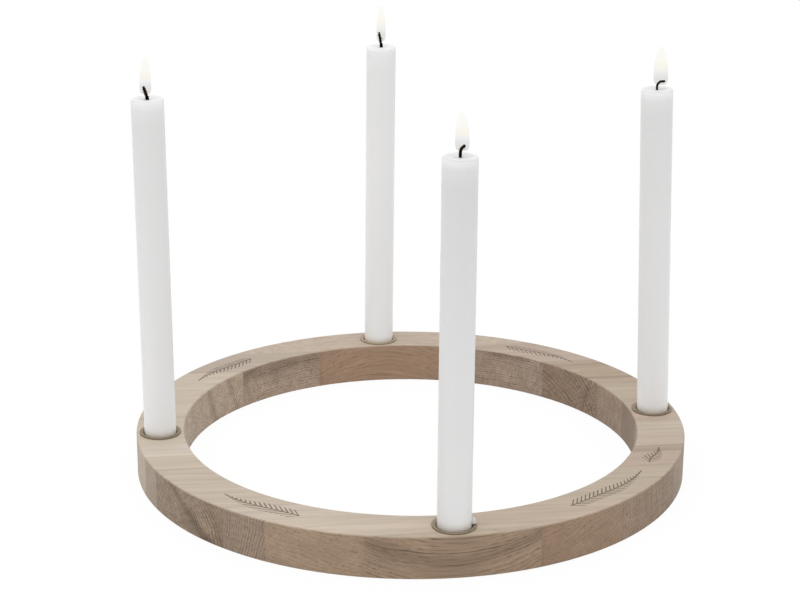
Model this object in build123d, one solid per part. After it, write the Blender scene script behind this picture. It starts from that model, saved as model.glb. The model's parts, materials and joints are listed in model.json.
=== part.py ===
from build123d import *

import os
from dataclasses import dataclass
from itertools import accumulate
from math import cos, radians, sin

# An advent candle holder: a flat oak ring on the table, with metal sockets for four stick candles.
# The ring is cut from a panel of oak staves glued edge to edge, with the grain along X.
# Origin: centre of the ring on the table. +Z is up and the front of the ring faces -Y.
# All lengths are millimetres and all angles are degrees.

# Ring
RING_OUTER_D = 350.0
RING_THICKNESS = 26.0
EDGE_EASING = 0.5

# Candles
CANDLE_D = 20.0
CANDLE_LENGTH = 236.4
CANDLE_RIM = 2.5
CANDLE_SHOULDER = 1.5
CANDLE_CUP_DEPTH = 0.8
CANDLE_FOOT_CHAMFER = 1.0
WICK_D = 1.6
WICK_CLEARANCE = 0.05

# Pressed metal sockets that hold the candles, and the bores that they sit in
SOCKET_CLEARANCE = 1.4
SOCKET_WALL = 0.6
SOCKET_FLANGE = 1.6
SOCKET_FLANGE_THICKNESS = 1.0
SOCKET_LIP = 0.3
SOCKET_GAP = 0.05
SEAT_CLEARANCE = 0.1
BORE_FLOOR = 5.4
FLANGE_MARGIN = 2.0

# How far a cut runs past the faces that it has to clear
CUT_OVERRUN = 2.0

# Staves: the two at the front and the one at the back cross the ring in one piece.
# Each side between them has staves of its own, listed from front to back.
FRONT_EDGE_STAVE = 7.6
FRONT_STAVE_LAP = 5.2
BACK_STAVE_LAP = 7.0
LEFT_STAVE_WIDTHS = (20.3, 59.5, 21.5, 20.5, 44.0, 37.0, 41.5, 33.5)
RIGHT_STAVE_WIDTHS = (20.3, 29.5, 30.0, 21.5, 20.5, 34.0, 35.0, 46.0, 41.0)


@dataclass
class Candle:
    """One candle's place on the ring, its lean towards +X and the shape of its burnt wick.

    The foot stands off the socket's middle towards +X by a share of its play there.
    """

    name: str
    azimuth: float
    foot_share: float
    lean: float
    burnt_down: float
    wick_rise: float
    wick_bend_radius: float
    wick_bend: float
    wick_tail: float


# The wick rises from the candle's melted cup. A positive bend turns its free end towards -X.
CANDLES = (
    Candle("left", 179.4, 0.1, -0.33, 0.7, 0.4, 5.0, 16, 6.6),
    Candle("back", 89.8, 0.0, 0.3, 3.9, 0.5, 10.0, 10, 8.2),
    Candle("front", -89.5, 0.0, 0.0, 0.0, 2.6, 4.2, -60, 0.6),
    Candle("right", 0.6, 0.9, -1.9, 2.7, 2.0, 3.2, -90, 1.9),
)

# Sizes that follow from those above
CANDLE_R = CANDLE_D / 2
CANDLE_CUP_R = CANDLE_R - CANDLE_RIM
SOCKET_INNER_R = CANDLE_R + SOCKET_CLEARANCE
SOCKET_OUTER_R = SOCKET_INNER_R + SOCKET_WALL
SOCKET_FLANGE_R = SOCKET_INNER_R + SOCKET_FLANGE
SOCKET_FOOT = BORE_FLOOR + SOCKET_GAP
SOCKET_FLOOR = SOCKET_FOOT + SOCKET_WALL
SOCKET_FLANGE_UNDERSIDE = RING_THICKNESS + SOCKET_GAP
SOCKET_TOP = SOCKET_FLANGE_UNDERSIDE + SOCKET_FLANGE_THICKNESS
RING_WIDTH = 2 * (SOCKET_FLANGE_R + FLANGE_MARGIN)
RING_OUTER_R = RING_OUTER_D / 2
RING_INNER_R = RING_OUTER_R - RING_WIDTH
FRONT_EDGE_LINE = FRONT_EDGE_STAVE - RING_OUTER_R
FRONT_LINE = FRONT_STAVE_LAP - RING_INNER_R
BACK_LINE = RING_INNER_R - BACK_STAVE_LAP
CANDLE_CIRCLE_R = RING_OUTER_R - RING_WIDTH / 2
WICK_HOLE_R = WICK_D / 2 + WICK_CLEARANCE
FOOT_PLAY = SOCKET_CLEARANCE - SEAT_CLEARANCE


def bore_place(candle):
    """Centre of a candle's bore on the candle circle."""
    angle = radians(candle.azimuth)
    return CANDLE_CIRCLE_R * cos(angle), CANDLE_CIRCLE_R * sin(angle)


def bore():
    """The blind hole for one socket, run on past the top face so that it cuts clean through it."""
    depth = RING_THICKNESS + CUT_OVERRUN - BORE_FLOOR
    hole = Cylinder(SOCKET_OUTER_R + SOCKET_GAP, depth, align=(Align.CENTER, Align.CENTER, Align.MIN))
    return Pos(Z=BORE_FLOOR) * hole


def whole_ring():
    """The ring with eased edges and its four bores, before it is divided into staves."""
    section = Rectangle(RING_WIDTH, RING_THICKNESS, align=(Align.MIN, Align.MIN))
    section = chamfer(section.vertices(), EDGE_EASING)
    ring = revolve(Plane.XZ * Pos(X=RING_INNER_R) * section, Axis.Z)
    for candle in CANDLES:
        x, y = bore_place(candle)
        ring -= Pos(X=x, Y=y) * bore()
    return ring


def glue_lines(widths):
    """Glue lines of one side's staves from front to back, which share out any spare width evenly."""
    spare = (BACK_LINE - FRONT_LINE - sum(widths)) / len(widths)
    return list(accumulate((width + spare for width in widths), initial=FRONT_LINE))


def slab(x_from, x_to, y_from, y_to):
    """The space of the panel between two glue lines, run on past its top and bottom faces."""
    block = Box(
        x_to - x_from,
        y_to - y_from,
        RING_THICKNESS + 2 * CUT_OVERRUN,
        align=(Align.MIN, Align.MIN, Align.MIN),
    )
    return Pos(x_from, y_from, -CUT_OVERRUN) * block


def staves():
    """Every stave of the ring by name."""
    ring = whole_ring()
    reach = RING_OUTER_R + CUT_OVERRUN
    pieces = {
        "front_edge_stave": ring & slab(-reach, reach, -reach, FRONT_EDGE_LINE),
        "front_stave": ring & slab(-reach, reach, FRONT_EDGE_LINE, FRONT_LINE),
        "back_stave": ring & slab(-reach, reach, BACK_LINE, reach),
    }
    for side, x_from, x_to, widths in (
        ("left", -reach, 0, LEFT_STAVE_WIDTHS),
        ("right", 0, reach, RIGHT_STAVE_WIDTHS),
    ):
        lines = glue_lines(widths)
        for number, (y_from, y_to) in enumerate(zip(lines, lines[1:]), start=1):
            pieces[f"{side}_stave_{number}"] = ring & slab(x_from, x_to, y_from, y_to)
    return pieces


def socket():
    """A straight metal cup whose flange lies on the ring's top face."""
    outline = Polyline(
        (0, SOCKET_FOOT),
        (SOCKET_OUTER_R, SOCKET_FOOT),
        (SOCKET_OUTER_R, SOCKET_FLANGE_UNDERSIDE),
        (SOCKET_FLANGE_R, SOCKET_FLANGE_UNDERSIDE),
        (SOCKET_FLANGE_R, SOCKET_TOP),
        (SOCKET_INNER_R, SOCKET_TOP),
        (SOCKET_INNER_R, SOCKET_FLOOR),
        (0, SOCKET_FLOOR),
        close=True,
    )
    profile = make_face(outline)
    profile = chamfer(profile.vertices().group_by(Axis.Y)[-1], SOCKET_LIP)
    return revolve(Plane.XZ * profile, Axis.Z)


def candle_seat(candle):
    """The frame of a standing candle: its foot on the socket's floor and Z along its axis."""
    x, y = bore_place(candle)
    foot_rise = CANDLE_R * sin(radians(abs(candle.lean)))
    foot = Pos(x + candle.foot_share * FOOT_PLAY, y, SOCKET_FLOOR + SEAT_CLEARANCE + foot_rise)
    return foot * Rot(Y=candle.lean)


def candle_stick(candle):
    """A straight wax stick with a hole for its wick, a rounded shoulder and a shallow melted cup."""
    length = CANDLE_LENGTH - candle.burnt_down
    outline = Polyline(
        (WICK_HOLE_R, length - CANDLE_CUP_DEPTH),
        (WICK_HOLE_R, 0),
        (CANDLE_R, 0),
        (CANDLE_R, length),
        (CANDLE_CUP_R, length),
    )
    cup = ThreePointArc(
        (CANDLE_CUP_R, length),
        ((CANDLE_CUP_R + WICK_HOLE_R) / 2, length - 0.75 * CANDLE_CUP_DEPTH),
        (WICK_HOLE_R, length - CANDLE_CUP_DEPTH),
    )
    profile = make_face(outline + cup)
    foot_corner, shoulder_corner = profile.vertices().group_by(Axis.X)[-1].sort_by(Axis.Y)
    profile = fillet(shoulder_corner, CANDLE_SHOULDER)
    foot_corner = profile.vertices().sort_by_distance(foot_corner)[0]
    profile = chamfer(foot_corner, CANDLE_FOOT_CHAMFER)
    return revolve(Plane.XZ * profile, Axis.Z)


def wick(candle):
    """A wick from the candle's foot to its burnt free end, which bends over sideways."""
    bend_start = CANDLE_LENGTH - candle.burnt_down - CANDLE_CUP_DEPTH + candle.wick_rise
    run = Line((0, 0), (0, bend_start))
    bend = JernArc(run @ 1, run % 1, candle.wick_bend_radius, candle.wick_bend)
    tail = Line(bend @ 1, (bend @ 1) + (bend % 1) * candle.wick_tail)
    path = Plane.XZ * (run + bend + tail)
    return sweep(Plane.XY * Circle(WICK_D / 2), path=path)


def sockets_and_candles():
    """Every socket by name, with the candle and the wick that stand in it."""
    pieces = {}
    for candle in CANDLES:
        x, y = bore_place(candle)
        seat = candle_seat(candle)
        pieces[f"socket_{candle.name}"] = Pos(X=x, Y=y) * socket()
        pieces[f"candle_{candle.name}"] = seat * candle_stick(candle)
        pieces[f"wick_{candle.name}"] = seat * wick(candle)
    return pieces


os.makedirs("parts", exist_ok=True)
for name, piece in {**staves(), **sockets_and_candles()}.items():
    export_step(piece, f"parts/{name}.step")
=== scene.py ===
"""Looks of an oak candle ring with four lit stick candles.

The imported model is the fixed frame, in metres. The ring lies on the table with its centre at the origin,
+Z is up, the grain of the wood runs along X and the front candle stands towards -Y.
"""

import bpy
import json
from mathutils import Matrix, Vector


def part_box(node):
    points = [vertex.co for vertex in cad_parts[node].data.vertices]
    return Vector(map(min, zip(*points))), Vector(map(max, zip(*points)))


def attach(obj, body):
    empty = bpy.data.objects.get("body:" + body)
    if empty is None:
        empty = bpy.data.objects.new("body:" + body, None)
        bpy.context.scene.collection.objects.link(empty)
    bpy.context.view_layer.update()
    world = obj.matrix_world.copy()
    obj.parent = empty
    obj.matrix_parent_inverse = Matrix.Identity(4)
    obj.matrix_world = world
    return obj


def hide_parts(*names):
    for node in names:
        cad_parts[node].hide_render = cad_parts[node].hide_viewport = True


bl_info = {
    "name": "Candle Ring",
    "version": (1, 0, 0),
    "blender": (4, 5, 0),
    "location": "View3D > Sidebar > Candle Ring",
    "description": "Finishes an oak candle ring, its stick candles and their flames",
    "category": "Object",
}

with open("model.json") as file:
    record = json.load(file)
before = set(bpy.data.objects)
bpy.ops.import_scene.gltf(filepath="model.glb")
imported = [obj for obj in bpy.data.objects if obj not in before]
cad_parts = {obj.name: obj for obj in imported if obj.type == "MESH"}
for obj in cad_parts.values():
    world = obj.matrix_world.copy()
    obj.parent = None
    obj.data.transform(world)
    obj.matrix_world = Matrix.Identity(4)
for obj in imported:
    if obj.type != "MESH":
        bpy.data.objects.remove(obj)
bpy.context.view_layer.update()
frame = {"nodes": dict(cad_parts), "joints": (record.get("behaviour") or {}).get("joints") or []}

import json
import math
import random
from dataclasses import dataclass

import bmesh
import bpy
from bpy.props import FloatProperty, FloatVectorProperty, PointerProperty
from mathutils import Matrix, Quaternion, Vector

MM = 0.001

# Places read from the frame
SIDES = ("left", "back", "front", "right")
STAVES = [name for name in frame["nodes"] if "_stave" in name]
RING_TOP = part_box("front_stave")[1].z
RING_MIDDLE_R = sum(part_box("socket_right"), Vector()).xy.length / 2


@dataclass(frozen=True)
class Seat:
    """Where a candle stands: the middle of its foot, its axis, its length and its radius."""

    foot: Vector
    axis: Vector
    length: float
    radius: float

    def middle_at(self, z):
        """The candle's middle at a height over the table."""
        return self.foot + self.axis * ((z - self.foot.z) / self.axis.z)

    def place(self):
        """The matrix that stands a piece modelled along Z on this seat, leaning towards X only."""
        lean = math.atan2(self.axis.x, self.axis.z)
        return Matrix.Translation(self.foot) @ Matrix.Rotation(lean, 4, "Y")


def candle_seat(side):
    """The seat of one candle, from its node's box and its joint's axis."""
    low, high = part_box(f"candle_{side}")
    joint = next(joint for joint in frame["joints"] if joint["child"] == f"{side}_candle")
    axis = Vector(joint["axis"]).normalized()
    radius = (high.y - low.y) / 2
    tilt = radius * abs(axis.x)
    foot_z = low.z + tilt
    length = (high.z - tilt - foot_z) / axis.z
    middle = (low + high) / 2
    return Seat(Vector((middle.x - axis.x * length / 2, middle.y, foot_z)), axis, length, radius)


def srgb(red, green, blue):
    """Linear colour of display values from 0 to 255."""
    return tuple(
        value / 12.92 if value <= 0.04045 else ((value + 0.055) / 1.055) ** 2.4
        for value in (red / 255, green / 255, blue / 255)
    )


# Sizes and colours that a user would change


class OakSettings(bpy.types.PropertyGroup):
    """The wood of the ring and the sprigs engraved in it."""

    face: FloatVectorProperty(
        name="Face",
        description="Colour of the sanded top face",
        subtype="COLOR",
        default=srgb(186, 173, 155),
    )
    # Painted shade in part: upright faces are darker than the top partly by their own grain and partly as
    # painted shade where less light falls
    wall: FloatVectorProperty(
        name="Wall",
        description="Tint of the upright faces, on top of the face colour",
        subtype="COLOR",
        default=(0.74, 0.63, 0.55),
    )
    end_grain: FloatVectorProperty(
        name="End grain",
        description="Tint of upright faces that cut across the grain",
        subtype="COLOR",
        default=(0.70, 0.66, 0.61),
    )
    early_wood: FloatVectorProperty(
        name="Early wood",
        description="Tint of the porous part of each year ring",
        subtype="COLOR",
        default=(0.34, 0.28, 0.23),
    )
    pore: FloatVectorProperty(
        name="Pores", description="Colour of the open pores", subtype="COLOR", default=srgb(98, 80, 64)
    )
    stain: FloatVectorProperty(
        name="Stain", description="Tint of the darkest stains", subtype="COLOR", default=(0.30, 0.25, 0.20)
    )
    engraving: FloatVectorProperty(
        name="Engraving", description="Colour of the burnt lines", subtype="COLOR", default=srgb(84, 66, 52)
    )
    line_width: FloatProperty(
        name="Line width", description="Width of an engraved line", unit="LENGTH", default=0.75 * MM
    )
    sprig_width: FloatProperty(
        name="Sprig width",
        description="Reach of the needles from the stem",
        unit="LENGTH",
        default=5.5 * MM,
    )


class CandleSettings(bpy.types.PropertyGroup):
    """The sockets, the wax sticks, their wicks and their flames."""

    brass: FloatVectorProperty(
        name="Brass", description="Colour of the sockets", subtype="COLOR", default=(0.29, 0.235, 0.165)
    )
    wax: FloatVectorProperty(
        name="Wax", description="Colour of the wax", subtype="COLOR", default=(0.87, 0.87, 0.868)
    )
    # Painted shade: the tint of a darker band on the wax where a candle stands in its socket
    socket_shade: FloatVectorProperty(
        name="Soot",
        description="Tint of the wax where a candle leaves its socket",
        subtype="COLOR",
        default=(0.87, 0.82, 0.77),
    )
    char: FloatVectorProperty(
        name="Char",
        description="Colour of the burnt cotton",
        subtype="COLOR",
        default=(0.002, 0.0016, 0.0013),
    )
    ash: FloatVectorProperty(
        name="Ash", description="Colour of the ash on a wick", subtype="COLOR", default=(0.03, 0.028, 0.026)
    )
    glow: FloatVectorProperty(
        name="Glow",
        description="Colour of a flame's bright part",
        subtype="COLOR",
        default=srgb(251, 249, 242),
    )
    heart: FloatVectorProperty(
        name="Heart",
        description="Colour of the warm band in a flame's middle",
        subtype="COLOR",
        default=srgb(247, 243, 226),
    )
    veil: FloatVectorProperty(
        name="Veil",
        description="Colour of a flame's dim foot",
        subtype="COLOR",
        default=(0.05, 0.03, 0.008),
    )
    shoulder: FloatProperty(
        name="Shoulder", description="Rounding of a candle's rim", unit="LENGTH", default=1.6 * MM
    )
    cup: FloatProperty(
        name="Cup", description="Depth of the melted cup round a wick", unit="LENGTH", default=0.8 * MM
    )
    wick_width: FloatProperty(
        name="Wick width", description="Thickness of a wick", unit="LENGTH", default=1.9 * MM
    )


class StageSettings(bpy.types.PropertyGroup):
    """The floor, the light and the camera."""

    floor: FloatVectorProperty(
        name="Floor", description="Colour of the floor", subtype="COLOR", default=(0.82, 0.82, 0.82)
    )
    floor_shadow: FloatProperty(
        name="Floor shadow",
        description="How much of the shadow shows on the floor",
        subtype="FACTOR",
        min=0.0,
        max=1.0,
        default=0.08,
    )
    sky: FloatProperty(
        name="Sky",
        description="Strength of the light from all round",
        subtype="FACTOR",
        min=0.0,
        max=1.0,
        default=0.82,
    )
    softbox: FloatProperty(
        name="Softbox", description="Power of the lamp overhead", unit="POWER", default=12.0
    )
    lens: FloatProperty(
        name="Lens", description="Focal length of the camera", unit="CAMERA", default=90.686
    )


class CandleRingSettings(bpy.types.PropertyGroup):
    """Everything that can be set on the candle ring."""

    oak: PointerProperty(type=OakSettings)
    candles: PointerProperty(type=CandleSettings)
    stage: PointerProperty(type=StageSettings)


# Shader maths


class Field:
    """A value that varies over a surface. Arithmetic on it adds Math nodes."""

    def __init__(self, nodes, socket):
        self.nodes = nodes
        self.socket = socket

    def math(self, operation, *values):
        """A Math node on these values."""
        return self.nodes.node("Math", {"operation": operation}, dict(enumerate(values)))

    def __add__(self, other):
        return self.math("ADD", self, other)

    def __sub__(self, other):
        return self.math("SUBTRACT", self, other)

    def __rsub__(self, other):
        return self.math("SUBTRACT", other, self)

    def __mul__(self, other):
        return self.math("MULTIPLY", self, other)

    def __truediv__(self, other):
        return self.math("DIVIDE", self, other)

    def __rtruediv__(self, other):
        return self.math("DIVIDE", other, self)

    def __abs__(self):
        return self.math("ABSOLUTE", self)

    __radd__ = __add__
    __rmul__ = __mul__

    def fraction(self):
        return self.math("FRACT", self)

    def floor(self):
        return self.math("FLOOR", self)

    def root(self):
        return self.math("SQRT", self)

    def sine(self):
        return self.math("SINE", self)

    def angle(self, other):
        """Angle of the point (other, self) round the origin, in radians."""
        return self.math("ARCTAN2", self, other)

    def least(self, other):
        return self.math("MINIMUM", self, other)

    def most(self, other):
        return self.math("MAXIMUM", self, other)

    def rise(self, start, end):
        """A smooth step from 0 at start to 1 at end. It falls where end is below start."""
        sockets = {"Value": self, "From Min": start, "From Max": end}
        return self.nodes.node("MapRange", {"interpolation_type": "SMOOTHSTEP"}, sockets)


class Nodes:
    """A node tree under construction."""

    def __init__(self, tree):
        self.tree = tree
        self.tree.nodes.clear()

    def node(self, kind, settings, sockets, output=0):
        """Adds a node. Its settings are set first, then each socket gets its value or its link."""
        made = self.tree.nodes.new("ShaderNode" + kind)
        for name, value in settings.items():
            setattr(made, name, value)
        for key, value in sockets.items():
            if isinstance(value, Field):
                self.tree.links.new(value.socket, made.inputs[key])
            else:
                made.inputs[key].default_value = value
        return Field(self, made.outputs[output]) if made.outputs else None

    def place(self):
        """The point of the surface in the frame of its piece, in millimetres."""
        point = self.node("TexCoord", {}, {}, "Object")
        return self.node("VectorMath", {"operation": "SCALE"}, {0: point, "Scale": 1 / MM})

    def normal(self):
        """The direction that the surface faces, in the frame of its piece."""
        return self.node("TexCoord", {}, {}, "Normal")

    def parts(self, vector):
        """The three components of a vector."""
        return [self.node("SeparateXYZ", {}, {0: vector}, axis) for axis in "XYZ"]

    def vector(self, x, y, z):
        return self.node("CombineXYZ", {}, {0: x, 1: y, 2: z})

    def shifted(self, point, offset):
        return self.node("VectorMath", {"operation": "ADD"}, {0: point, 1: offset})

    def noise(self, point, lump, detail=2.0):
        """Smooth noise from about -1 to 1 with lumps of this size along X, Y and Z."""
        scaled = self.node("VectorMath", {"operation": "DIVIDE"}, {0: point, 1: lump})
        value = self.node("TexNoise", {}, {"Vector": scaled, "Scale": 1.0, "Detail": detail})
        return value * 4 - 2

    def chance(self, value):
        """A random number from 0 to 1 for each whole value."""
        return self.node("TexWhiteNoise", {"noise_dimensions": "1D"}, {"W": value})

    def mix(self, factor, first, second):
        """A colour between two colours."""
        sockets = {"Factor": factor, 6: colour(first), 7: colour(second)}
        return self.node("Mix", {"data_type": "RGBA"}, sockets, 2)

    def tinted(self, first, second, factor=1.0):
        """A colour multiplied by a tint."""
        sockets = {"Factor": factor, 6: colour(first), 7: colour(second)}
        return self.node("Mix", {"data_type": "RGBA", "blend_type": "MULTIPLY"}, sockets, 2)

    def grey(self, value):
        """A value as a colour."""
        return self.node("CombineColor", {}, {0: value, 1: value, 2: value})

    def bump(self, height, depth, strength=1.0):
        return self.node("Bump", {}, {"Height": height, "Distance": depth, "Strength": strength})

    def surface(self, shader):
        self.node("OutputMaterial", {}, {"Surface": shader})

    def principled(self, **sockets):
        """The shader itself. Socket names are written with underscores."""
        named = {name.replace("_", " "): value for name, value in sockets.items()}
        return self.node("BsdfPrincipled", {}, named)


def colour(value):
    """A colour socket takes four numbers. A field is passed on as it is."""
    return value if isinstance(value, Field) else (*value, 1.0)


def new_material(name):
    """An empty material and its nodes."""
    material = bpy.data.materials.new(name)
    material.use_nodes = True
    return material, Nodes(material.node_tree)


def dress(piece, material):
    """Gives a piece one material."""
    piece.data.materials.clear()
    piece.data.materials.append(material)


# Oak


@dataclass(frozen=True)
class Stain:
    """A darker seam in a stave's wood, from one (y, z) across the grain to another, in millimetres."""

    start: tuple
    end: tuple
    half_width: float
    depth: float  # how dark it is on upright faces
    top_depth: float = 0.0  # how dark it is on the top


@dataclass(frozen=True)
class Board:
    """How one stave was sawn from its tree. Lengths are millimetres."""

    top: tuple  # tint of the top face
    # The wall tint is partly the stave's own tone and partly painted light and shade
    wall: tuple  # tint of the upright faces
    pith: tuple  # the tree's middle as (y, z) from the stave's own middle
    ring: float  # width of a year ring
    contrast: float  # strength of the year rings
    pores: float  # strength of the pores
    drift: tuple = (-0.04, 0.0)  # how far the grain runs towards +Y and +Z for each millimetre of X
    waver: float = 2.5  # how far the rings waver
    bow: float = 0.0  # how the grain bows up with the square of X
    seam: float = 0.12  # darkness of the glue line along the front
    fade: tuple = ()  # tint that the wood takes on towards +X
    stains: tuple = ()


# Top, wall, pith, ring, contrast and pores stand first in each row
BOARDS = {
    "front_edge_stave": Board(
        (0.96, 0.92, 0.89), (1.03, 1.0, 0.98), (20, 150), 2.4, 0.6, 1.0,
        drift=(0.0, 0.0), waver=3.5, bow=0.0038,
        stains=(Stain((-172, 12), (-170, 12), 8.5, 0.38),),
    ),
    "front_stave": Board(
        (1.16, 1.14, 1.16), (1.08, 1.04, 1.03), (-55, 105), 2.4, 0.3, 0.65,
        drift=(0.0, 0.04), waver=3.0, fade=(0.89, 0.85, 0.82),
    ),
    "back_stave": Board((1.03, 0.98, 0.99), (1.05, 0.96, 0.92), (-40, -150), 3.2, 0.22, 0.7, bow=-0.006),
    "left_stave_1": Board((1.16, 1.15, 1.20), (0.97, 0.95, 1.00), (95, 12), 1.2, 0.7, 1.0, waver=0.8),
    "left_stave_2": Board(
        (1.08, 1.06, 1.08), (0.98, 0.94, 0.94), (27, -22), 1.9, 1.0, 1.0, waver=1.0,
        stains=(
            Stain((-76, 28), (-112, 0), 5.5, 0.5),
            Stain((-92, 8), (-116, -3), 8.0, 0.3),
            Stain((-112, 26), (-120, -2), 5.0, 0.25),
        ),
    ),
    # Painted light in part: the walls of left_stave_3 to left_stave_8 are made brighter where light falls
    # from the left
    "left_stave_3": Board((1.12, 1.10, 1.12), (1.15, 1.14, 1.19), (-90, -30), 2.2, 0.3, 0.4, seam=0.45),
    "left_stave_4": Board((1.22, 1.25, 1.31), (1.45, 1.51, 1.64), (110, 15), 2.8, 0.15, 0.2),
    "left_stave_5": Board((1.17, 1.18, 1.20), (1.36, 1.39, 1.46), (-80, 30), 2.6, 0.3, 0.4),
    "left_stave_6": Board((1.15, 1.14, 1.18), (1.39, 1.37, 1.45), (60, -40), 2.2, 0.6, 0.8, seam=0.4),
    "left_stave_7": Board(
        (1.14, 1.13, 1.15), (1.43, 1.44, 1.52), (-50, 45), 2.0, 0.7, 0.9, drift=(-0.04, 0.12),
        stains=(Stain((72, 27), (80, 0), 4.0, 0.35), Stain((92, 27), (100, 0), 3.0, 0.3)),
    ),
    "left_stave_8": Board(
        (0.97, 0.93, 0.95), (1.26, 1.27, 1.37), (15, -110), 1.9, 0.7, 1.2, waver=1.0,
        stains=(Stain((100, 23), (145, 21), 10.0, 0.5),),
    ),
    "right_stave_1": Board((0.99, 0.95, 0.94), (0.94, 0.88, 0.88), (95, 14), 1.7, 0.35, 1.0, waver=0.8),
    "right_stave_2": Board((0.97, 0.94, 0.92), (0.90, 0.84, 0.84), (95, 12), 1.6, 0.65, 1.0, waver=0.8),
    "right_stave_3": Board(
        (0.95, 0.88, 0.88), (1.0, 0.97, 0.99), (80, 20), 2.0, 0.5, 0.8,
        stains=(Stain((-66, 26), (-65, 26), 6.5, 0.1, 0.2),),
    ),
    "right_stave_4": Board((1.02, 0.98, 1.00), (1.04, 1.02, 1.04), (90, -35), 2.5, 0.4, 0.5, seam=0.5),
    "right_stave_5": Board((1.08, 1.06, 1.08), (1.04, 1.02, 1.04), (-100, 20), 2.7, 0.35, 0.5),
    # Painted shade in part: right_stave_6's wall is made darker where it lies in shade
    "right_stave_6": Board((1.0, 0.94, 0.94), (0.78, 0.70, 0.69), (90, 50), 2.6, 0.3, 0.5),
    "right_stave_7": Board((0.94, 0.90, 0.88), (1.03, 0.96, 0.97), (20, -60), 2.2, 0.65, 0.8),
    "right_stave_8": Board(
        (0.88, 0.80, 0.75), (0.87, 0.79, 0.78), (60, -55), 3.2, 0.85, 1.0,
        drift=(-0.04, -0.12), waver=3.0,
        stains=(
            Stain((62, 26), (64, 26), 1.6, 0.1, 0.35),
            Stain((58, 27), (66, 2), 2.5, 0.35),
            Stain((88, 26), (90, 26), 5.0, 0.0, 0.2),
        ),
    ),
    "right_stave_9": Board(
        (0.96, 0.90, 0.92), (1.10, 1.09, 1.18), (10, -120), 1.8, 0.7, 1.2, waver=1.0,
        stains=(Stain((108, 26), (122, 25), 6.0, 0.45),),
    ),
}

# The fade of a stave runs from -FADE_REACH to FADE_REACH along X, in millimetres
FADE_REACH = 50.0


@dataclass(frozen=True)
class Sprig:
    """A fir sprig engraved along the ring."""

    azimuth: float  # of its middle, in degrees
    length: float  # along the ring, in millimetres
    growth: int  # 1 to grow towards larger azimuths, -1 towards smaller ones


SPRIGS = (
    Sprig(135.5, 56.0, 1),
    Sprig(46.6, 56.0, -1),
    Sprig(-27.5, 26.0, 1),
    Sprig(-50.0, 72.0, 1),
    Sprig(-131.8, 56.0, -1),
)

# Lengths in millimetres. A needle's slant is its run along the stem for each millimetre away from it.
NEEDLE_PITCH = 3.6
NEEDLE_SLANT = 1.15
STEM_WAVE = 1.0


def sprig_lines(x, y, sprig, oak):
    """1 on the engraved lines of a sprig and 0 elsewhere."""
    width = oak.line_width / MM
    reach = oak.sprig_width / MM
    circle = RING_MIDDLE_R / MM
    half = sprig.length / 2
    turn = math.radians(sprig.azimuth)
    ahead = x * math.cos(turn) + y * math.sin(turn)
    across = y * math.cos(turn) - x * math.sin(turn)
    along = across.angle(ahead) * (circle * sprig.growth)
    radius = (x * x + y * y).root()
    wave = (along * (math.pi / half)).sine() * STEM_WAVE
    away = abs(radius - circle - wave)
    stem = away.rise(width * 0.75, width * 0.35) * abs(along).rise(half, half - width)
    slanted = (along - away * NEEDLE_SLANT) / NEEDLE_PITCH
    from_line = abs(slanted.fraction() - 0.5) * (NEEDLE_PITCH / math.hypot(1, NEEDLE_SLANT))
    needle = from_line.rise(width * 0.65, width * 0.3)
    tip = (half - along - away * NEEDLE_SLANT) / half
    needle_end = (tip.least(1.0) * (reach * 1.3)).least(reach)
    inside = (needle_end - away).rise(0.0, width * 0.5)
    below = (along - away * NEEDLE_SLANT + half).rise(0.0, width)
    return stem.most(needle * inside * below)


def sprig_crosses(sprig, low, high):
    """Whether a sprig reaches into a stave's box."""
    reach = sprig.length * MM / 2
    turn = math.radians(sprig.azimuth)
    middle = Vector((math.cos(turn), math.sin(turn))) * RING_MIDDLE_R
    inside_x = low.x - reach <= middle.x <= high.x + reach
    inside_y = low.y - reach <= middle.y <= high.y + reach
    return inside_x and inside_y


def stain_shade(y, z, wobble, stain):
    """1 on a stain's middle line, falling to 0 at its edge."""
    run_y = stain.end[0] - stain.start[0]
    run_z = stain.end[1] - stain.start[1]
    from_y = y - stain.start[0]
    from_z = z - stain.start[1]
    along = ((from_y * run_y + from_z * run_z) / (run_y ** 2 + run_z ** 2)).most(0.0).least(1.0)
    off_y = from_y - along * run_y
    off_z = from_z - along * run_z
    away = (off_y * off_y + off_z * off_z).root() + wobble
    return away.rise(stain.half_width, 0.0)


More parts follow.
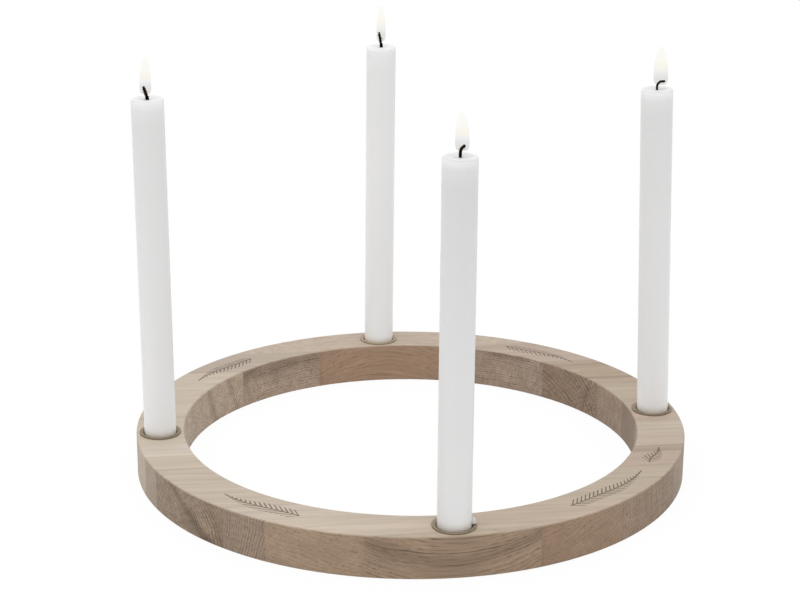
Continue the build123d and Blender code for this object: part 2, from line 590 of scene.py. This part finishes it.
def oak_material(node, oak, seed):
    """Oak of one stave, with its own year rings, rays, pores, stains and glue line and the sprigs on it."""
    board = BOARDS[node]
    low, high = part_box(node)
    draw = random.Random(seed)
    material, nodes = new_material(f"oak_{node}")
    x, y, z = nodes.parts(nodes.place())
    normal_x, _, normal_z = nodes.parts(nodes.normal())
    upright = 1 - normal_z * normal_z
    end_grain = normal_x * normal_x

    # Where a point lay in the tree
    bowed_z = z - x * x * board.bow
    drifted_y = y - x * board.drift[0]
    drifted_z = bowed_z - x * board.drift[1]
    offset = [draw.uniform(-400, 400) for _ in range(3)]
    grown = nodes.shifted(nodes.vector(x, drifted_y, drifted_z), offset)
    across = drifted_y - ((low.y + high.y) / 2 / MM + board.pith[0])
    upward = drifted_z - (RING_TOP / 2 / MM + board.pith[1])
    radius = (across * across + upward * upward).root()
    around = upward.angle(across) * math.hypot(*board.pith)

    # Year rings, rays, fibres and pores
    waver = nodes.noise(grown, (140, 20, 20)) * board.waver + nodes.noise(grown, (30, 4, 4)) * 0.3
    growth = (radius + waver) / board.ring
    year = growth.fraction()
    patch = nodes.noise(grown, (60, 11, 11))
    strength = nodes.chance(growth.floor()) * 0.8 + 0.2 + patch * 0.4
    broken = nodes.noise(grown, (22, 2.6, 2.6)).rise(-1.0, 0.1)
    early = (year.rise(0.46, 0.06) + year.rise(0.94, 1.0)) * strength.most(0.0) * broken
    ray = nodes.noise(nodes.vector(x, around, radius), (60, 1.1, 7), 1.0)
    fibre = nodes.noise(grown, (46, 1.0, 1.0), 3.0)
    band = nodes.noise(grown, (110, 5, 5))
    speck = nodes.noise(grown, (15, 0.8, 0.8))
    pore = speck.rise(0.1, 0.65) * (early * 0.7 + 0.4)

    # Colour of the plain wood, its upright faces partly darkened as painted shade, then what darkens it
    tint = nodes.mix(end_grain, oak.wall, oak.end_grain)
    tint = nodes.tinted(tint, board.wall)
    wood = nodes.tinted(oak.face, nodes.mix(upright, board.top, tint))
    shade = 1 + fibre * (upright * 0.06 + 0.05) + band * (0.11 - upright * 0.04)
    shade = shade + patch * (upright * 0.1 * board.pores + 0.03) + ray * end_grain * 0.26 * board.pores
    wood = nodes.tinted(wood, nodes.grey(shade))
    if board.fade:
        wood = nodes.tinted(wood, board.fade, x.rise(-FADE_REACH, FADE_REACH))
    wood = nodes.tinted(wood, oak.early_wood, early * board.contrast * (upright * 0.8 + 0.2))
    wood = nodes.mix(pore * board.pores * (upright * (0.8 - end_grain * 0.4) + 0.1), wood, oak.pore)
    for stain in board.stains:
        wobble = speck * 0.5 + patch * 0.6
        depth = upright * (stain.depth - stain.top_depth) + stain.top_depth
        wood = nodes.tinted(wood, oak.stain, stain_shade(y, bowed_z, wobble, stain) * depth)
    wood = nodes.mix((y - low.y / MM).rise(1.3, 0.1) * board.seam, wood, oak.pore)

    # Engraved sprigs on the top
    height = fibre * 0.2 - pore * 0.7 - early * 0.25
    roughness = 0.58 + early * 0.06 + pore * 0.1
    on_top = normal_z.rise(0.8, 0.95)
    for sprig in SPRIGS:
        if sprig_crosses(sprig, low, high):
            lines = sprig_lines(x, y, sprig, oak) * on_top
            wood = nodes.mix(lines * 0.85, wood, oak.engraving)
            height = height - lines * 1.5
            roughness = roughness + lines * 0.15

    nodes.surface(
        nodes.principled(
            Base_Color=wood,
            Roughness=roughness,
            Specular_IOR_Level=0.35,
            Normal=nodes.bump(height, 0.12 * MM, 0.5),
        )
    )
    return material


# Candles, wicks and flames


@dataclass(frozen=True)
class Burn:
    """How one candle burns. Lengths are millimetres."""

    wick_share: float  # the wick's width as a share of the set one
    wick_rise: float  # straight run over the wax
    wick_bend_radius: float
    wick_bend: float  # in degrees, towards -X where it is positive
    wick_tail: float  # straight run after the bend
    flame_foot: float  # height over the candle's top
    flame_tip: float  # height over the candle's top
    flame_width: float
    flame_lean: tuple  # shift of the flame's foot and of its tip towards +X


BURNS = {
    "left": Burn(
        wick_share=1.3, wick_rise=0.4, wick_bend_radius=5.0, wick_bend=16, wick_tail=6.6,
        flame_foot=3.0, flame_tip=24.8, flame_width=6.9, flame_lean=(-0.8, -0.3),
    ),
    "back": Burn(
        wick_share=1.25, wick_rise=0.5, wick_bend_radius=10.0, wick_bend=10, wick_tail=8.2,
        flame_foot=3.8, flame_tip=28.1, flame_width=6.1, flame_lean=(-0.2, -0.2),
    ),
    "front": Burn(
        wick_share=1.0, wick_rise=2.6, wick_bend_radius=4.2, wick_bend=-60, wick_tail=0.6,
        flame_foot=3.3, flame_tip=24.2, flame_width=7.7, flame_lean=(1.0, 0.4),
    ),
    "right": Burn(
        wick_share=0.85, wick_rise=2.0, wick_bend_radius=3.2, wick_bend=-90, wick_tail=1.9,
        flame_foot=2.8, flame_tip=26.6, flame_width=8.8, flame_lean=(2.3, 2.5),
    ),
}

# Painted light and shade: each socket is painted brighter or darker and each candle's wax whiter or greyer
# as light falls on it, and the bead's wax is painted darker
BRASS_TONES = {"left": 1.0, "back": 1.5, "front": 1.05, "right": 1.0}
WAX_TONES = {"left": 1.02, "back": 1.07, "front": 0.975, "right": 1.0, "bead": 0.72}


@dataclass(frozen=True)
class Bead:
    """A bead of wax that ran down a candle. Lengths are millimetres."""

    side: str
    azimuth: float  # direction from the candle's axis, in degrees
    height: float  # of its middle over the ring's top
    radii: tuple  # out from the candle, along its side and up


BEAD = Bead("front", -2.0, 2.0, (2.8, 2.7, 2.9))

# Gap under the bead, and the share of its outward radius that is sunk in the candle
BEAD_GAP = 0.05 * MM
BEAD_SINK = 0.05

# A pressed socket. Each row of its throat is how far it closes in on the candle and how deep that lies.
SOCKET_FLANGE = 1.6 * MM
SOCKET_WALL = 0.6 * MM
SOCKET_LIP_R = 0.3 * MM
SOCKET_GAP = 0.25 * MM
SOCKET_THROAT = ((0.0, 0.1 * MM), (0.5, 0.4 * MM), (1.0, 1.0 * MM), (1.0, 3.0 * MM), (0.0, 7.0 * MM))

# A candle's foot, and the heights in millimetres where the band of painted shade at the socket begins,
# peaks and ends
FOOT_CHAMFER = 1.0 * MM
FOOT_BAND = (15.0, 20.5, 25.5)

# A wick inside the wax: places as shares of the candle's length, then an evenly stepped run to the bend
WICK_HIDDEN = (0.0, 0.3, 0.6, 0.9, 0.96)
WICK_ROOT = 5 * MM

# A flame's foot as shares of its half width and of its height. Over the waist it tapers with this power.
FLAME_HOLLOW = ((0.0, 0.11), (0.3, 0.09), (0.52, 0.025), (0.68, 0.0))
FLAME_BELLY = ((0.84, 0.02), (0.95, 0.07), (1.0, 0.13), (1.01, 0.18))
FLAME_WAIST = 0.24
FLAME_TAPER = 0.56

# Turned forms
TURNED_SEGMENTS = 96
FLAME_SEGMENTS = 40
ON_AXIS = 1e-7


def build_bead(shape, radii, rest):
    """A lumpy drop of set wax, flat where it rests on the socket at this height under its middle."""
    bmesh.ops.create_icosphere(shape, subdivisions=4, radius=1.0)
    for vertex in shape.verts:
        x, y, z = vertex.co
        lump = 1 + 0.07 * math.sin(5 * x + 1) * math.sin(4 * y) + 0.06 * math.sin(6 * z + 3 * x)
        vertex.co = Vector([value * lump * radius * MM for value, radius in zip(vertex.co, radii)])
        vertex.co.z = max(vertex.co.z, rest)


def mesh_piece(name, build):
    """A new piece whose mesh is filled by a function."""
    mesh = bpy.data.meshes.new(name)
    shape = bmesh.new()
    build(shape)
    bmesh.ops.recalc_face_normals(shape, faces=shape.faces)
    shape.to_mesh(mesh)
    shape.free()
    for polygon in mesh.polygons:
        polygon.use_smooth = True
    piece = bpy.data.objects.new(name, mesh)
    bpy.context.scene.collection.objects.link(piece)
    return piece


def lathe(shape, profile, segments, shift=lambda radius, z: 0.0):
    """A closed turned form. The profile is (radius, height) from axis to axis. Shift moves rings on X."""
    rings = []
    for radius, z in profile:
        middle = shift(radius, z)
        if radius < ON_AXIS:
            rings.append([shape.verts.new((middle, 0, z))])
            continue
        turns = (2 * math.pi * step / segments for step in range(segments))
        corners = [(radius * math.cos(turn) + middle, radius * math.sin(turn), z) for turn in turns]
        rings.append([shape.verts.new(corner) for corner in corners])
    bridge(shape, rings, segments)


def bridge(shape, rings, segments):
    """Faces between rings of vertices. A ring of one vertex closes the form."""
    for first, second in zip(rings, rings[1:]):
        for step in range(segments):
            following = (step + 1) % segments
            corners = [
                first[step % len(first)],
                first[following % len(first)],
                second[following % len(second)],
                second[step % len(second)],
            ]
            shape.faces.new(list(dict.fromkeys(corners)))


def arc(middle, radius, start, end, steps):
    """Points on an arc of a circle, with angles in degrees."""
    angles = (math.radians(start + (end - start) * step / steps) for step in range(steps + 1))
    return [(middle[0] + radius * math.cos(a), middle[1] + radius * math.sin(a)) for a in angles]


def candle_profile(seat, candles):
    """Outline of a candle from the middle of its foot to the middle of the melted cup in its top."""
    radius = seat.radius
    shoulder = candles.shoulder
    side_top = seat.length - shoulder
    side_run = side_top - FOOT_CHAMFER
    side_steps = 12
    outline = [(0.0, 0.0), (radius - FOOT_CHAMFER, 0.0), (radius, FOOT_CHAMFER)]
    outline += [(radius, FOOT_CHAMFER + side_run * step / side_steps) for step in range(1, side_steps)]
    outline += arc((radius - shoulder, side_top), shoulder, 0, 90, 10)
    cup_r = radius - shoulder
    cup_steps = 14
    for step in range(1, cup_steps + 1):
        share = step / cup_steps
        dip = candles.cup * (0.5 - 0.5 * math.cos(math.pi * share))
        outline.append((cup_r * (1 - share), seat.length - dip))
    return outline


def socket_profile(base, top, outer, cup, snug):
    """Outline of a socket from the middle of its underside to that of its floor, with a snug throat."""
    skin = cup + SOCKET_WALL
    floor = base + SOCKET_WALL
    outline = [(0.0, base), (skin, base), (skin, RING_TOP), (outer, RING_TOP)]
    outline += arc((outer - SOCKET_LIP_R, top - SOCKET_LIP_R), SOCKET_LIP_R, 0, 90, 4)
    outline.append((skin, top))
    outline += [(cup + (snug - cup) * share, top - depth) for share, depth in SOCKET_THROAT]
    outline += [(cup, floor), (0.0, floor)]
    return outline


def brass_material(side, candles):
    """Dull brass that has darkened unevenly."""
    material, nodes = new_material(f"aged_brass_{side}")
    place = nodes.place()
    tarnish = nodes.noise(place, (3.0, 3.0, 3.0), 3.0)
    scratch = nodes.noise(place, (0.4, 6.0, 6.0))
    brass = nodes.tinted(candles.brass, nodes.grey(BRASS_TONES[side] + tarnish * 0.12))
    nodes.surface(
        nodes.principled(
            Base_Color=brass,
            Metallic=0.7,
            Roughness=0.5 + tarnish * 0.05,
            Normal=nodes.bump(scratch, 0.02 * MM, 0.3),
        )
    )
    return material


def wax_material(side, candles, length=None):
    """Smooth white wax, slightly translucent and faintly mottled. On a candle of this length its colour
    holds painted
    light and shade: a painted glow under the flame, lighter wax towards the foot, painted shade in the
    melted cup and on the shoulder, and a band of painted shade where it stands in its socket."""
    material, nodes = new_material(f"candle_wax_{side}")
    place = nodes.place()
    cloud = nodes.noise(place, (14, 14, 30), 3.0)
    grain = nodes.noise(place, (1.6, 1.6, 5))
    white = [value * WAX_TONES[side] for value in candles.wax]
    tone = 1 + cloud * 0.006 + grain * 0.003
    foot = 0.0
    shoulder = 0.0
    if length:
        top = length / MM
        band_start, band_peak, band_end = FOOT_BAND
        _, _, z = nodes.parts(place)
        _, _, normal_z = nodes.parts(nodes.normal())
        # Painted light and shade: the wax is painted lighter towards the foot and glowing under the flame,
        # and darker in the melted cup and on the shoulder
        lit_through = z.rise(top - 18, top - 4) * 0.05 + z.rise(top - 7, top - 2) * 0.08
        cup = normal_z.rise(0.05, 0.65)
        shoulder = normal_z.rise(0.05, 0.5) * normal_z.rise(1.0, 0.92)
        tone = tone + 0.04 - z * (0.09 / top) + lit_through - cup * 0.17 - shoulder * 0.055
        # Painted shade: a darker band on the wax where the candle stands in its socket
        foot = z.rise(band_end, band_peak) * z.rise(band_start, band_peak)
    wax = nodes.tinted(nodes.tinted(white, nodes.grey(tone)), candles.socket_shade, foot)
    nodes.surface(
        nodes.principled(
            Base_Color=wax,
            Roughness=0.46 + cloud * 0.03 + shoulder * 0.4,
            Specular_IOR_Level=0.4,
            Subsurface_Weight=1.0,
            Subsurface_Radius=(1.0, 0.97, 0.94),
            Subsurface_Scale=3.0 * MM,
            Normal=nodes.bump(cloud * 0.3 + grain * 0.2, 0.06 * MM, 0.35),
        )
    )
    return material


def char_material(candles):
    """Burnt cotton: black, with a little grey ash on the yarn's high spots."""
    material, nodes = new_material("charred_cotton")
    place = nodes.place()
    spots = nodes.noise(place, (0.5, 0.5, 0.9), 3.0)
    fibre = nodes.noise(place, (0.12, 0.12, 0.5))
    yarn = nodes.mix(spots.rise(0.1, 0.7) * 0.2, candles.char, candles.ash)
    nodes.surface(
        nodes.principled(
            Base_Color=yarn,
            Roughness=0.88,
            Specular_IOR_Level=0.06,
            Normal=nodes.bump(fibre, 0.05 * MM, 0.6),
        )
    )
    return material


def wick_path(seat, burn, cup):
    """Points of a wick's middle line in its candle's own frame, from the foot to the burnt end."""
    base = seat.length - cup
    start = base + burn.wick_rise * MM
    radius = burn.wick_bend_radius * MM
    bend = math.radians(burn.wick_bend)
    side = math.copysign(1.0, bend)
    steps = 14
    tail_steps = 4
    points = [Vector((0, 0, share * seat.length)) for share in WICK_HIDDEN]
    free = start - base + WICK_ROOT
    points += [Vector((0, 0, base - WICK_ROOT + free * step / steps)) for step in range(steps + 1)]
    for step in range(1, steps + 1):
        turn = abs(bend) * step / steps
        points.append(Vector((-side * radius * (1 - math.cos(turn)), 0, start + radius * math.sin(turn))))
    heading = Vector((-math.sin(bend), 0, math.cos(bend)))
    tail = heading * burn.wick_tail * MM
    points += [points[-1] + tail * step / tail_steps for step in range(1, tail_steps + 1)]
    return points


def build_wick(shape, path, width):
    """Three twisted strands along a path. The strands close up towards the burnt end."""
    strands = 3
    sides = 10
    strand_r = width * 0.3
    orbit = width / 2 - strand_r
    pitch = 4.2 * MM
    closing_run = 1.2 * MM
    thinning_run = 1.0 * MM
    tip = 0.2 * MM
    sideways = Vector((0, 1, 0))
    walked = [0.0]
    for first, second in zip(path, path[1:]):
        walked.append(walked[-1] + (second - first).length)
    for strand in range(strands):
        rings = []
        for index, point in enumerate(path):
            before = path[max(index - 1, 0)]
            after = path[min(index + 1, len(path) - 1)]
            heading = (after - before).normalized()
            outward = sideways.cross(heading).normalized()
            left = walked[-1] - walked[index]
            closing = min(1.0, 0.7 + left / closing_run)
            thickness = strand_r * min(1.0, 0.75 + left / thinning_run)
            turn = 2 * math.pi * (walked[index] / pitch + strand / strands)
            middle = point + (outward * math.cos(turn) + sideways * math.sin(turn)) * orbit * closing
            ring = []
            for step in range(sides):
                angle = 2 * math.pi * step / sides
                spoke = outward * math.cos(angle) + sideways * math.sin(angle)
                ring.append(shape.verts.new(middle + spoke * thickness))
            rings.append(ring)
        rings.insert(0, [shape.verts.new(path[0])])
        rings.append([shape.verts.new(path[-1] + (path[-1] - path[-2]).normalized() * tip)])
        bridge(shape, rings, sides)


def flame_profile(foot, tip, half_width):
    """Outline of a flame: a hollow foot round the wick, full low down and drawn out to a soft point."""
    steps = 16
    outline = [*FLAME_HOLLOW, *FLAME_BELLY]
    for step in range(steps + 1):
        share = FLAME_WAIST + (1 - FLAME_WAIST) * math.sin(math.pi / 2 * step / steps)
        reach = max(0.0, 1 - ((share - FLAME_WAIST) / (1 - FLAME_WAIST)) ** 2) ** FLAME_TAPER
        outline.append((reach, share))
    return [(reach * half_width, foot + share * (tip - foot)) for reach, share in outline]


def flame_material(side, seat, burn, candles):
    """A flame that glows cream white over a dim see-through foot."""
    material, nodes = new_material(f"flame_{side}")
    _, _, z = nodes.parts(nodes.place())
    foot = seat.length / MM + burn.flame_foot
    height = (z - foot) / (burn.flame_tip - burn.flame_foot)
    lit = height.rise(0.14, 0.5)
    heart = height.rise(0.34, 0.46) * height.rise(0.66, 0.5)
    glow = nodes.mix(heart, candles.glow, candles.heart)
    nodes.surface(
        nodes.principled(
            Base_Color=(0.0, 0.0, 0.0, 1.0),
            Roughness=1.0,
            Specular_IOR_Level=0.0,
            Emission_Color=nodes.mix(lit, candles.veil, glow),
            Emission_Strength=1.0,
            Alpha=0.135 + height.rise(0.3, 0.6) * 0.47,
        )
    )
    return material


def add_socket(side, candles):
    """One socket, whose throat follows the lean of its candle."""
    low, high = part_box(f"socket_{side}")
    seat = candle_seat(side)
    middle = (low + high) / 2
    outer = (high.x - low.x) / 2
    cup = outer - SOCKET_FLANGE
    profile = socket_profile(low.z, high.z, outer, cup, seat.radius + SOCKET_GAP)

    def shift(radius, z):
        in_throat = 0.0 < radius < cup
        return seat.middle_at(z).x - middle.x if in_throat else 0.0

    socket = mesh_piece(f"brass_socket_{side}", lambda shape: lathe(shape, profile, TURNED_SEGMENTS, shift))
    socket.location = (middle.x, middle.y, 0.0)
    dress(socket, brass_material(side, candles))
    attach(socket, "ring")
    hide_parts(f"socket_{side}")


def add_candle(side, candles):
    """One wax stick on its seat."""
    seat = candle_seat(side)
    profile = candle_profile(seat, candles)
    candle = mesh_piece(f"stick_candle_{side}", lambda shape: lathe(shape, profile, TURNED_SEGMENTS))
    candle.matrix_world = seat.place()
    dress(candle, wax_material(side, candles, seat.length))
    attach(candle, f"{side}_candle")
    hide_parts(f"candle_{side}")


def add_bead(candles):
    """The bead of wax at one candle's foot."""
    seat = candle_seat(BEAD.side)
    middle = seat.middle_at(RING_TOP + BEAD.height * MM)
    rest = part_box(f"socket_{BEAD.side}")[1].z + BEAD_GAP - middle.z
    bead = mesh_piece("wax_bead", lambda shape: build_bead(shape, BEAD.radii, rest))
    turn = Matrix.Rotation(math.radians(BEAD.azimuth), 4, "Z")
    out = turn @ Vector((seat.radius - BEAD_SINK * BEAD.radii[0] * MM, 0, 0))
    bead.matrix_world = Matrix.Translation(middle + out) @ turn
    dress(bead, wax_material("bead", candles))
    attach(bead, f"{BEAD.side}_candle")


def add_wick(side, candles, char):
    """One wick, from its candle's foot to its burnt end."""
    seat = candle_seat(side)
    path = wick_path(seat, BURNS[side], candles.cup)
    width = candles.wick_width * BURNS[side].wick_share
    wick = mesh_piece(f"burnt_wick_{side}", lambda shape: build_wick(shape, path, width))
    wick.matrix_world = seat.place()
    dress(wick, char)
    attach(wick, f"{side}_candle")
    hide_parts(f"wick_{side}")


def add_flame(side, candles):
    """One flame, which casts no shadow."""
    seat = candle_seat(side)
    burn = BURNS[side]
    foot = seat.length + burn.flame_foot * MM
    tip = seat.length + burn.flame_tip * MM
    foot_shift, tip_shift = burn.flame_lean
    profile = flame_profile(foot, tip, burn.flame_width * MM / 2)

    def shift(radius, z):
        share = (z - foot) / (tip - foot)
        return (foot_shift + (tip_shift - foot_shift) * share ** 2) * MM

    flame = mesh_piece(f"flame_{side}", lambda shape: lathe(shape, profile, FLAME_SEGMENTS, shift))
    flame.matrix_world = seat.place()
    flame.visible_shadow = False
    dress(flame, flame_material(side, seat, burn, candles))
    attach(flame, f"{side}_candle")


# Stage

# Places and sizes in metres, the sensor in millimetres and the roll in radians
FLOOR_SIZE = 12.0
FLOOR_GLOW = 1.02
SOFTBOX_PLACE = Vector((-0.25, -0.3, 2.2))
SOFTBOX_SIZE = 1.8
CAMERA_PLACE = Vector((-0.18142, -1.19262, 0.51064))
CAMERA_AIM = Vector((0.1370, 0.9387, -0.3164))
CAMERA_ROLL = 0.00684
CAMERA_REACH = 50.0
SENSOR_WIDTH = 36.0
WHITE = (1.0, 1.0, 1.0)


def seen(nodes):
    """1 for a ray that shows the background: from the camera, or by way of gloss or glass."""
    kinds = ("Camera", "Glossy", "Transmission")
    camera, gloss, glass = (nodes.node("LightPath", {}, {}, f"Is {kind} Ray") for kind in kinds)
    return camera.most(gloss).most(glass)


def add_floor(stage):
    """A white floor that keeps a faint shadow of the ring."""

    def build(shape):
        bmesh.ops.create_grid(shape, x_segments=8, y_segments=8, size=FLOOR_SIZE / 2)

    floor = mesh_piece("studio_floor", build)
    material, nodes = new_material("white_floor")
    lit = nodes.node("BsdfDiffuse", {}, {"Color": colour(stage.floor)})
    white = nodes.node("Emission", {}, {"Color": colour(WHITE), "Strength": FLOOR_GLOW})
    shown = seen(nodes) * (1 - stage.floor_shadow)
    nodes.surface(nodes.node("MixShader", {}, {0: shown, 1: lit, 2: white}))
    dress(floor, material)


def add_sky(scene, stage):
    """Even light from all round, and a white backdrop."""
    world = bpy.data.worlds.new("studio_sky")
    world.use_nodes = True
    nodes = Nodes(world.node_tree)
    strength = seen(nodes) * (1 - stage.sky) + stage.sky
    light = nodes.node("Background", {}, {"Color": colour(WHITE), "Strength": strength})
    nodes.node("OutputWorld", {}, {"Surface": light})
    scene.world = world


def add_softbox(stage):
    """A wide lamp overhead."""
    lamp = bpy.data.lights.new("softbox", "AREA")
    lamp.shape = "DISK"
    lamp.size = SOFTBOX_SIZE
    lamp.energy = stage.softbox
    piece = bpy.data.objects.new("softbox", lamp)
    piece.location = SOFTBOX_PLACE
    piece.rotation_mode = "QUATERNION"
    piece.rotation_quaternion = (-SOFTBOX_PLACE).to_track_quat("-Z", "Y")
    bpy.context.scene.collection.objects.link(piece)


def add_camera(scene, stage):
    """The camera of the front view."""
    camera = bpy.data.cameras.new("front_view")
    camera.lens = stage.lens
    camera.sensor_width = SENSOR_WIDTH
    camera.clip_end = CAMERA_REACH
    piece = bpy.data.objects.new("front_view", camera)
    piece.location = CAMERA_PLACE
    piece.rotation_mode = "QUATERNION"
    level = CAMERA_AIM.to_track_quat("-Z", "Y")
    piece.rotation_quaternion = level @ Quaternion((0, 0, 1), CAMERA_ROLL)
    scene.collection.objects.link(piece)
    scene.camera = piece


# Operators


class CANDLERING_OT_oak_staves(bpy.types.Operator):
    """Finish every stave of the ring in oak"""

    bl_idname = "candle_ring.oak_staves"
    bl_label = "Oak Staves"

    def execute(self, context):
        oak = context.scene.candle_ring.oak
        for seed, node in enumerate(STAVES):
            dress(frame["nodes"][node], oak_material(node, oak, seed))
        return {"FINISHED"}


class CANDLERING_OT_sockets(bpy.types.Operator):
    """Press the four sockets from aged brass"""

    bl_idname = "candle_ring.sockets"
    bl_label = "Sockets"

    def execute(self, context):
        candles = context.scene.candle_ring.candles
        for side in SIDES:
            add_socket(side, candles)
        return {"FINISHED"}


class CANDLERING_OT_stick_candles(bpy.types.Operator):
    """Turn the four wax sticks"""

    bl_idname = "candle_ring.stick_candles"
    bl_label = "Stick Candles"

    def execute(self, context):
        candles = context.scene.candle_ring.candles
        for side in SIDES:
            add_candle(side, candles)
            if side == BEAD.side:
                add_bead(candles)
        return {"FINISHED"}


class CANDLERING_OT_wicks(bpy.types.Operator):
    """Twist the four burnt wicks"""

    bl_idname = "candle_ring.wicks"
    bl_label = "Wicks"

    def execute(self, context):
        candles = context.scene.candle_ring.candles
        char = char_material(candles)
        for side in SIDES:
            add_wick(side, candles, char)
        return {"FINISHED"}


class CANDLERING_OT_flames(bpy.types.Operator):
    """Light the four candles"""

    bl_idname = "candle_ring.flames"
    bl_label = "Flames"

    def execute(self, context):
        candles = context.scene.candle_ring.candles
        for side in SIDES:
            add_flame(side, candles)
        return {"FINISHED"}


class CANDLERING_OT_stage(bpy.types.Operator):
    """Set up the floor, the light and the camera"""

    bl_idname = "candle_ring.stage"
    bl_label = "Stage"

    def execute(self, context):
        stage = context.scene.candle_ring.stage
        add_floor(stage)
        add_sky(context.scene, stage)
        add_softbox(stage)
        add_camera(context.scene, stage)
        context.scene.view_settings.view_transform = "Standard"
        return {"FINISHED"}


OPERATORS = (
    CANDLERING_OT_oak_staves,
    CANDLERING_OT_sockets,
    CANDLERING_OT_stick_candles,
    CANDLERING_OT_wicks,
    CANDLERING_OT_flames,
    CANDLERING_OT_stage,
)


class CANDLERING_PT_panel(bpy.types.Panel):
    """The candle ring's settings and steps"""

    bl_idname = "CANDLERING_PT_panel"
    bl_label = "Candle Ring"
    bl_space_type = "VIEW_3D"
    bl_region_type = "UI"
    bl_category = "Candle Ring"

    def draw(self, context):
        settings = context.scene.candle_ring
        for group in (settings.oak, settings.candles, settings.stage):
            box = self.layout.box()
            for name in group.bl_rna.properties.keys():
                if name not in ("rna_type", "name"):
                    box.prop(group, name)
        for operator in OPERATORS:
            self.layout.operator(operator.bl_idname)


CLASSES = (OakSettings, CandleSettings, StageSettings, CandleRingSettings, *OPERATORS, CANDLERING_PT_panel)


def register():
    for cls in CLASSES:
        bpy.utils.register_class(cls)
    bpy.types.Scene.candle_ring = PointerProperty(type=CandleRingSettings)


def unregister():
    del bpy.types.Scene.candle_ring
    for cls in reversed(CLASSES):
        bpy.utils.unregister_class(cls)


def main():
    """Registers the add-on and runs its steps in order."""
    register()
    bpy.ops.candle_ring.oak_staves()
    bpy.ops.candle_ring.sockets()
    bpy.ops.candle_ring.stick_candles()
    bpy.ops.candle_ring.wicks()
    bpy.ops.candle_ring.flames()
    bpy.ops.candle_ring.stage()


if __name__ == "__main__":
    main()
